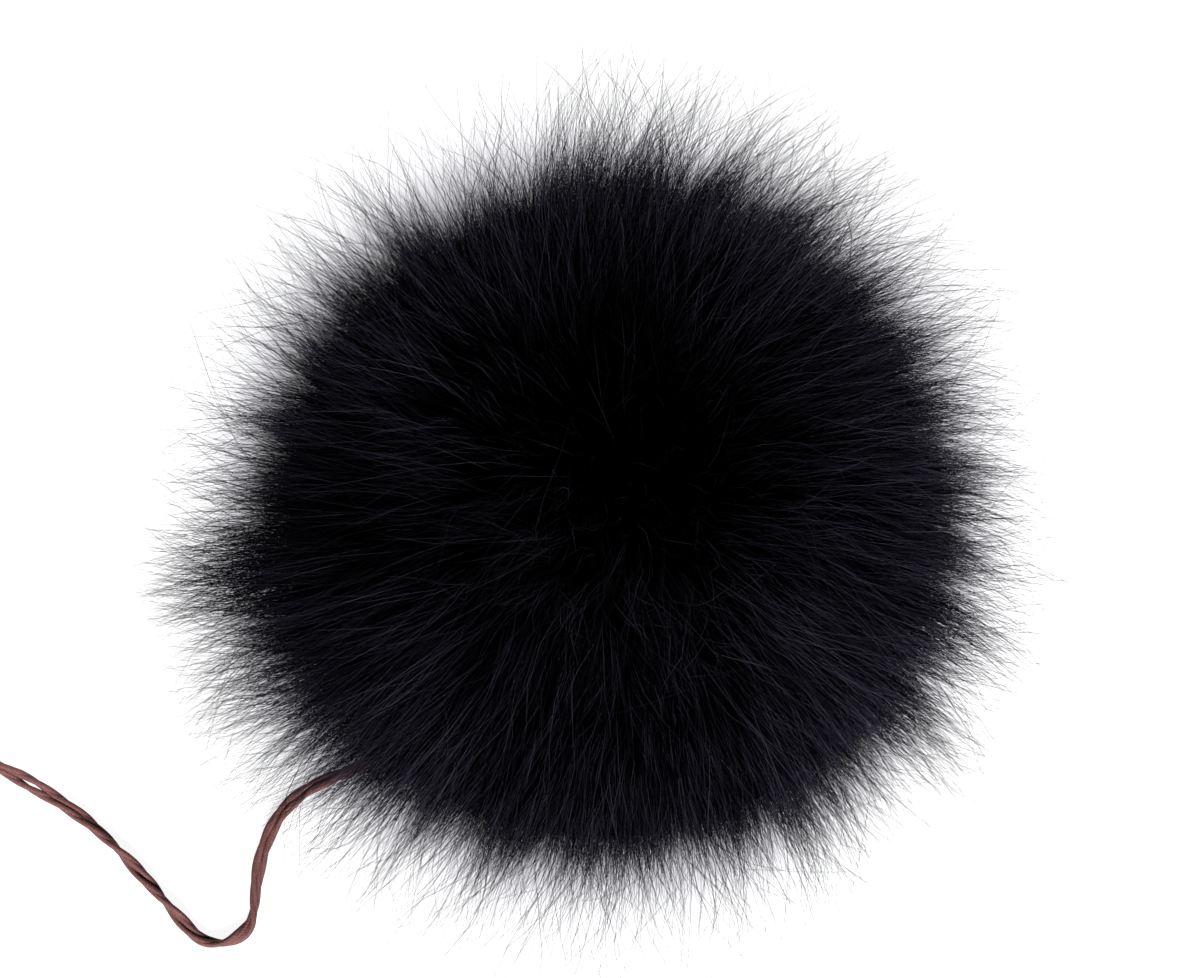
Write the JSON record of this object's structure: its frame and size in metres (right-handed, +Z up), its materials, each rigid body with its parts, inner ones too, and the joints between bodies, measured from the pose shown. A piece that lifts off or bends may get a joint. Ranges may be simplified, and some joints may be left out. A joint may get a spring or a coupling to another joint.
{
  "type": "fur pom pom with tie",
  "caption": "Round pom pom of long black fur with a flat resting spot and a knotted tie of two twisted strands.",
  "frame": {"origin": "middle of the small flat spot on which the ball rests", "axes": "+Z up through the ball, +Y the far side when the tie lies at the left front"},
  "size_m": [0.1571, 0.1126, 0.098],
  "materials": {
    "black_fur": "long soft pile with a low silky sheen, near black",
    "brown_cord": "matt twisted cord, reddish brown"
  },
  "bodies": {
    "root": {"fur_ball": "black_fur", "tie_cord": "brown_cord", "tie_knot": "brown_cord"}
  },
  "joints": []
}
